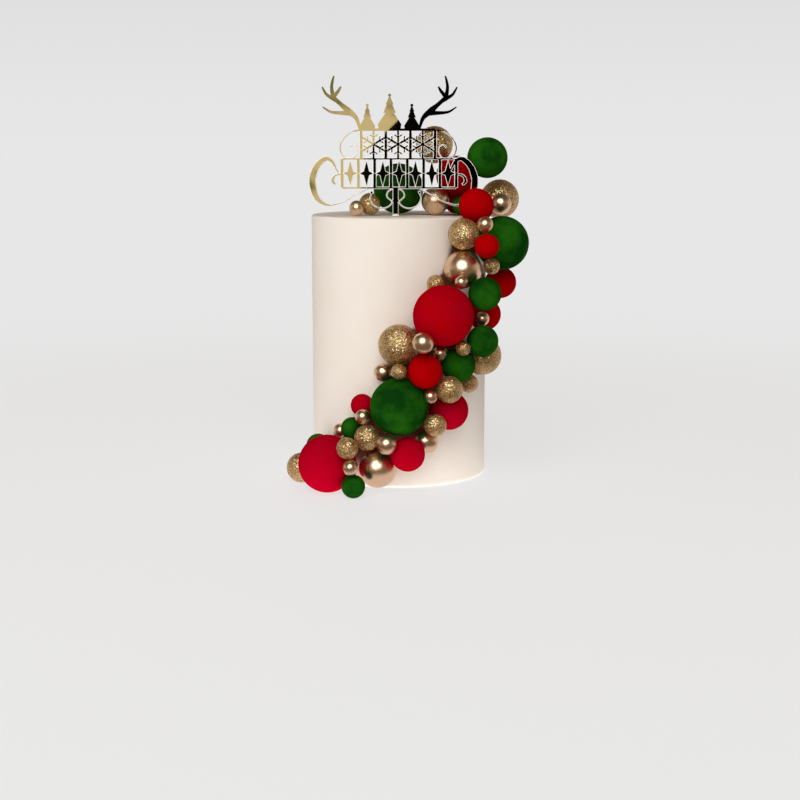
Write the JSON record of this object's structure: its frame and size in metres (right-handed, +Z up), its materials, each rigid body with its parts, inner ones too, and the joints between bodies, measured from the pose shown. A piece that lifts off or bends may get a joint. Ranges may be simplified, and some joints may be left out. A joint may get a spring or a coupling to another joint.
{
  "type": "christmas cake",
  "caption": "Tall round iced Christmas cake with a cascade of matte, metallic and glitter baubles down its front and a gold mirror topper of antlers, fir trees, stars and scrolls.",
  "frame": {"origin": "centre of the cake's flat bottom", "axes": "+Z up along the cake's axis, -Y towards the front with the baubles and the topper, +X to the right as seen from the front"},
  "size_m": [0.215, 0.2166, 0.3596],
  "materials": {
    "icing": "smooth ivory icing, matte with a soft sheen",
    "plug_icing": "white icing dab",
    "topper_mirror": "gold mirror acrylic with pale cut edges",
    "red_matte": "matte powdery red",
    "green_matte": "matte powdery bottle green",
    "gold_metallic": "satin metallic champagne gold",
    "gold_glitter": "coarse gold glitter"
  },
  "bodies": {
    "root": {"bauble_glitter_01": "gold_glitter", "bauble_glitter_02": "gold_glitter", "bauble_glitter_03": "gold_glitter", "bauble_glitter_04": "gold_glitter", "bauble_glitter_05": "gold_glitter", "bauble_glitter_06": "gold_glitter", "bauble_glitter_07": "gold_glitter", "bauble_glitter_08": "gold_glitter", "bauble_glitter_09": "gold_glitter", "bauble_glitter_10": "gold_glitter", "bauble_glitter_11": "gold_glitter", "bauble_glitter_12": "gold_glitter", "bauble_glitter_13": "gold_glitter", "bauble_glitter_14": "gold_glitter", "bauble_glitter_15": "gold_glitter", "bauble_glitter_16": "gold_glitter", "bauble_gold_01": "gold_metallic", "bauble_gold_02": "gold_metallic", "bauble_gold_03": "gold_metallic", "bauble_gold_04": "gold_metallic", "bauble_gold_05": "gold_metallic", "bauble_gold_06": "gold_metallic", "bauble_gold_07": "gold_metallic", "bauble_gold_08": "gold_metallic", "bauble_gold_09": "gold_metallic", "bauble_gold_10": "gold_metallic", "bauble_gold_11": "gold_metallic", "bauble_gold_12": "gold_metallic", "bauble_gold_13": "gold_metallic", "bauble_gold_14": "gold_metallic", "bauble_gold_15": "gold_metallic", "bauble_gold_16": "gold_metallic", "bauble_gold_17": "gold_metallic", "bauble_green_01": "green_matte", "bauble_green_02": "green_matte", "bauble_green_03": "green_matte", "bauble_green_04": "green_matte", "bauble_green_05": "green_matte", "bauble_green_06": "green_matte", "bauble_green_07": "green_matte", "bauble_green_08": "green_matte", "bauble_green_09": "green_matte", "bauble_green_10": "green_matte", "bauble_green_11": "green_matte", "bauble_red_01": "red_matte", "bauble_red_02": "red_matte", "bauble_red_03": "red_matte", "bauble_red_04": "red_matte", "bauble_red_05": "red_matte", "bauble_red_06": "red_matte", "bauble_red_07": "red_matte", "bauble_red_08": "red_matte", "bauble_red_09": "red_matte", "bauble_red_10": "red_matte", "bauble_red_11": "red_matte", "bauble_red_12": "red_matte", "cake": "icing", "stake_plug": "plug_icing", "topper": "topper_mirror"}
  },
  "joints": []
}
